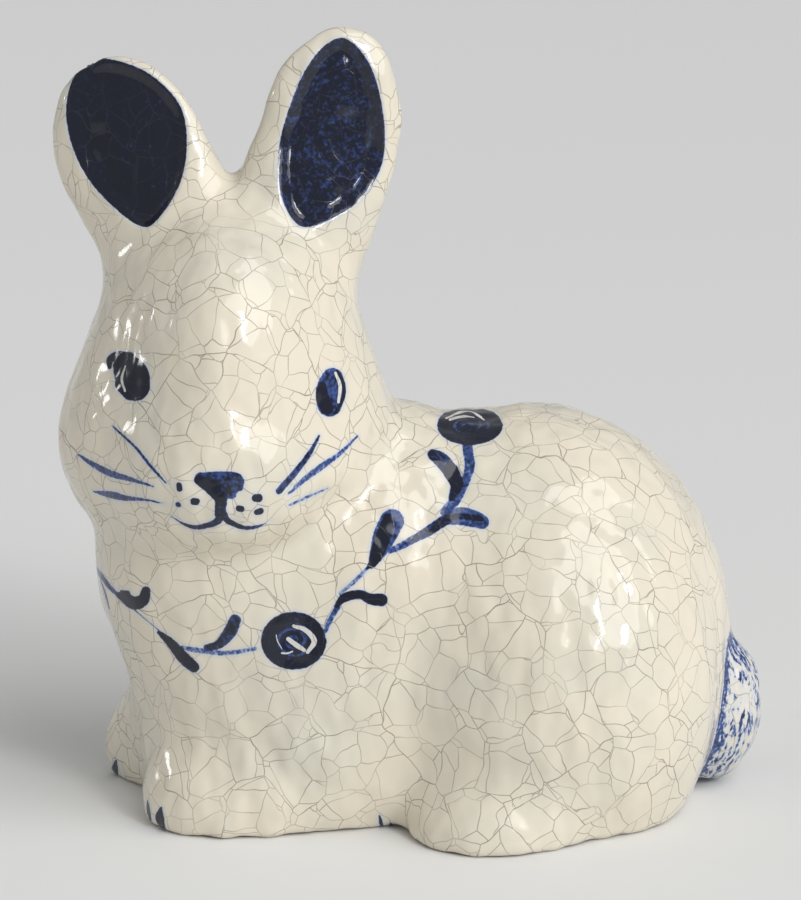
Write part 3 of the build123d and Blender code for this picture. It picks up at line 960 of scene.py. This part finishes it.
# Cobalt sinks into the glaze: near black where the brush was loaded, mottled blue where it was
# nearly dry, with a pale blue haze round every mark.
haze_blue = (0.44, 0.54, 0.70, 1)
pale_blue = (0.30, 0.38, 0.56, 1)
cobalt_blue = (0.035, 0.075, 0.255, 1)
navy = (0.003, 0.005, 0.017, 1)
blue_from, blue_full = 0.12, 0.5
navy_from, navy_full = 0.45, 0.88
grain_size = 0.0007
grain_strength = 1.5
grain_fades_at = 1.38
blot_size = 0.0022
blot_strength = 0.45
ragged_edge = 0.00025
cover_from, cover_full = -0.00005, 0.00012
haze_reach = halo * 0.95
haze_full = 0.0001
haze_strength = 0.42
rim_share = 0.8
rim_width = 0.0005


def cobalt_over(finish, spot, ground):
    """The paint's colour, from how deep and how dark the brush marks are, and where it covers."""
    depth = finish.node("Attribute", {"attribute_name": "depth"}, {}, "Fac")
    dark = finish.node("Attribute", {"attribute_name": "dark"}, {}, "Fac")
    grain = finish.cloud(spot, grain_size, detail=3.0) - 0.5
    blot = finish.cloud(spot, blot_size, detail=2.0) - 0.5
    edge = depth + grain * ragged_edge
    cover = finish.eased(cover_from, cover_full, edge)
    haze = finish.eased(-haze_reach, haze_full, edge) * haze_strength
    thinned = dark * (rim_share + (1 - rim_share) * finish.eased(0.0, rim_width, edge))
    mottling = grain * (grain_fades_at - dark) * grain_strength + blot * blot_strength
    uneven = thinned + mottling
    light = finish.mixed(finish.eased(blue_from, blue_full, uneven), pale_blue, cobalt_blue)
    paint = finish.mixed(finish.eased(navy_from, navy_full, uneven), light, navy)
    return finish.mixed(cover, finish.mixed(haze, ground, haze_blue), paint), cover


finishes = {
    "white_glaze": glazed("white_glaze"),
    "cobalt": glazed("cobalt", cobalt_over),
    "dark_cobalt": glazed("dark_cobalt", cobalt_over),
}
dark_nodes = ("eye", "nose", "ear_lining", "claws")


def solid(name, points, faces, directions, slot, values=None):
    """A piece of the figure as a closed mesh, which stands for its part and rides on the body."""
    mesh = bpy.data.meshes.new(name + "_glazed")
    mesh.from_pydata(points.tolist(), [], faces)
    for key, column in (values or {}).items():
        attribute = mesh.attributes.new(key, "FLOAT", "POINT")
        attribute.data.foreach_set("value", column.astype(np.float32))
    mesh.polygons.foreach_set("use_smooth", np.ones(len(faces), bool))
    mesh.normals_split_custom_set_from_vertices(directions.tolist())
    mesh.materials.append(finishes[slot])
    made = bpy.data.objects.new(name + "_glazed", mesh)
    bpy.context.scene.collection.objects.link(made)
    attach(made, "root")
    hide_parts(name)


def rim_of(faces):
    """The edges at the rim of a patch of quads, each in the direction of its quad."""
    edges = np.stack([faces, np.roll(faces, -1, 1)], -1).reshape(-1, 2)
    key = np.sort(edges, 1) @ (len(spots) * 4, 1)
    _, first, count = np.unique(key, return_index=True, return_counts=True)
    return edges[first[count == 1]]


def loops_of(edges):
    """The closed loops that edges make, as lists of points."""
    following = dict(edges.tolist())
    loops = []
    while following:
        loop = [next(iter(following))]
        while loop[-1] in following:
            loop.append(following.pop(loop[-1]))
        loops.append(loop[:-1])
    return loops


# Each piece of clay is its share of the skin, sunk where paint is let into it, and closed where it
# meets the next piece, inside the luted joint.
paint_seat = 0.0005
dish_share = 0.12
cap_direction = (0.0, 0.0, 1.0)
skin_points = np.vstack([spots, spots - normals * paint_seat])
skin_directions = np.vstack([normals, normals])


def share_of_skin(mine):
    """The faces of one piece of clay: bare quads, sunk ones under paint, and the steps between."""
    bare, sunk = quads[mine & (painter < 0)], quads[mine & (painter >= 0)] + len(spots)
    parted = mine[edge_quads].all(1) & ((painter[edge_quads] < 0).sum(1) == 1)
    bare_first = painter[edge_quads[parted, 0]] < 0
    ends = np.where(bare_first[:, None], edge_ends[parted], edge_ends[parted][:, ::-1])
    steps = np.column_stack([ends[:, ::-1], ends + len(spots)])
    return np.vstack([bare, sunk, steps])


def caps_of(faces):
    """The shallow dishes that close a piece of clay: their middles and their triangles."""
    middle = skin_points[np.unique(faces)].mean(0)
    hubs, triangles = [], []
    for loop in loops_of(rim_of(faces)):
        hub = len(skin_points) + len(hubs)
        centre = skin_points[loop].mean(0)
        hubs.append(centre + (middle - centre) * dish_share)
        triangles += [(b, a, hub) for a, b in zip(loop, loop[1:] + loop[:1])]
    return hubs, triangles


for index, name in enumerate(clay_gaps):
    faces = share_of_skin(owner == index)
    hubs, triangles = caps_of(faces)
    points = np.vstack([skin_points, hubs])
    directions = np.vstack([skin_directions, np.tile(cap_direction, (len(hubs), 1))])
    used = np.unique(np.concatenate([faces.ravel(), np.ravel(triangles)]))
    number = np.zeros(len(points), int)
    number[used] = np.arange(len(used))
    listed = number[faces].tolist() + number[np.array(triangles)].tolist()
    solid(name, points[used], listed, directions[used], "white_glaze")

# Each piece of paint is a thin tile of the skin that lies in a seat in the clay. It is cut finer
# than the clay, so that it can hold the edges of its brush marks.
paint_depth = 0.0004
beds = spots - normals * paint_depth
nanometres = 1e9
fine_parts = 4
every_stroke = [mark for marks in strokes.values() for mark in marks]
every_wipe_and_highlight = [mark for marks in wiped_and_highlit.values() for mark in marks]
fine_shares = np.arange(fine_parts + 1) / fine_parts
share_across, share_along = np.meshgrid(fine_shares, fine_shares, indexing="ij")
corner_shares = (
    (1 - share_across) * (1 - share_along),
    share_across * (1 - share_along),
    share_across * share_along,
    (1 - share_across) * share_along,
)


def finer(values, faces):
    """The values at the corners of quads, spread over a grid in each quad."""
    return sum(
        values[faces[:, c]][:, None, None] * shares[None, :, :, None]
        for c, shares in enumerate(corner_shares)
    )


def tile_top(mine):
    """The top of a tile: its points, their directions, the number of each point on a grid in each
    quad, and the small quads."""
    grid = finer(spots, mine)
    keys = np.round(grid.reshape(-1, 3) * nanometres).astype(np.int64)
    _, first, number = np.unique(keys, axis=0, return_index=True, return_inverse=True)
    number = number.reshape(grid.shape[:3])
    directions = unit(finer(normals, mine).reshape(-1, 3)[first])
    corners = number[:, :-1, :-1], number[:, 1:, :-1], number[:, 1:, 1:], number[:, :-1, 1:]
    return grid.reshape(-1, 3)[first], directions, number, np.stack(corners, -1).reshape(-1, 4)


def tile_walls(mine, number, below):
    """The walls from the rim of a tile's top down to its underside."""
    sides = (number[:, :, 0], number[:, -1, :], number[:, ::-1, -1], number[:, 0, ::-1])
    rim = {tuple(edge) for edge in rim_of(mine).tolist()}
    walls = []
    for c, lines in enumerate(sides):
        for quad, line in zip(mine, lines):
            a, b = int(quad[c]), int(quad[(c + 1) % 4])
            if (a, b) in rim:
                walls.append([*line[::-1].tolist(), int(below[a]), int(below[b])])
    return walls


for index, name in enumerate(strokes):
    mine = quads[painter == index]
    if not len(mine):
        raise ValueError(f"{name} has no paint")
    top, facing, number, small = tile_top(mine)
    under = np.unique(mine)
    below = np.zeros(len(spots), int)
    below[under] = len(top) + np.arange(len(under))
    faces = small.tolist() + below[mine[:, ::-1]].tolist() + tile_walls(mine, number, below)
    deep, dark = brushed(top, facing, every_stroke)
    # Scratches, and the painted highlights in the eyes, clear the paint back to the pale ground.
    deep -= scratched_and_highlit(top, facing, every_wipe_and_highlight) * (deep + scratch_and_highlight_lift)
    blank = np.zeros(len(under))
    values = {"depth": np.append(deep, blank), "dark": np.append(dark, blank)}
    points = np.vstack([top, beds[under]])
    directions = np.vstack([facing, -normals[under]])
    slot = "dark_cobalt" if name.startswith(dark_nodes) else "cobalt"
    solid(name, points, faces, directions, slot, values)

# The floor is no part of the figure. It stands in for a plain pale table that runs on behind it.
floor_half = 3.0
floor_white = (0.78, 0.78, 0.77, 1)
floor_roughness = 0.8
floor_signs = ((-1, -1), (1, -1), (1, 1), (-1, 1))
floor_corners = [(x * floor_half, y * floor_half, 0) for x, y in floor_signs]
floor_mesh = bpy.data.meshes.new("floor")
floor_mesh.from_pydata(floor_corners, [], [(0, 1, 2, 3)])
floor_finish = Finish("floor").done({"Base Color": floor_white, "Roughness": floor_roughness})
floor_mesh.materials.append(floor_finish)
floor = bpy.data.objects.new("floor", floor_mesh)
bpy.context.scene.collection.objects.link(floor)

# The light is a broad sun from the right and above, a window that shows in the glaze, a weak strip
# on the left, and a pale room.
sun_spread = 1.0
room_grey = (0.38, 0.385, 0.39, 1)


def lamp(kind, turn_degrees, height_degrees, away, energy):
    """A lamp that faces the figure, from a turn to the right of its front and a height."""
    light = bpy.data.lights.new("light", kind)
    light.energy = energy
    turn, lift = np.radians((turn_degrees, height_degrees))
    place = np.array((np.sin(turn) * np.cos(lift), -np.cos(turn) * np.cos(lift), np.sin(lift)))
    made = bpy.data.objects.new("light", light)
    made.location = camera_target + place * away
    made.rotation_mode = "QUATERNION"
    made.rotation_quaternion = Vector(place).to_track_quat("Z", "Y")
    bpy.context.scene.collection.objects.link(made)
    return light


def softbox(turn_degrees, height_degrees, away, width, tall, watts):
    """A lamp that is a flat rectangle."""
    light = lamp("AREA", turn_degrees, height_degrees, away, watts)
    light.shape = "RECTANGLE"
    light.size, light.size_y = width, tall


sun = lamp("SUN", turn_degrees=48, height_degrees=42, away=1, energy=1.7)
sun.angle = sun_spread
softbox(turn_degrees=30, height_degrees=30, away=1.3, width=0.26, tall=0.3, watts=3.6)
softbox(turn_degrees=-106, height_degrees=13, away=0.9, width=0.1, tall=0.14, watts=0.4)
world = bpy.data.worlds.new("room")
bpy.context.scene.world = world
world.use_nodes = True
world.node_tree.nodes["Background"].inputs["Color"].default_value = room_grey
bpy.context.scene.view_settings.view_transform = "Standard"
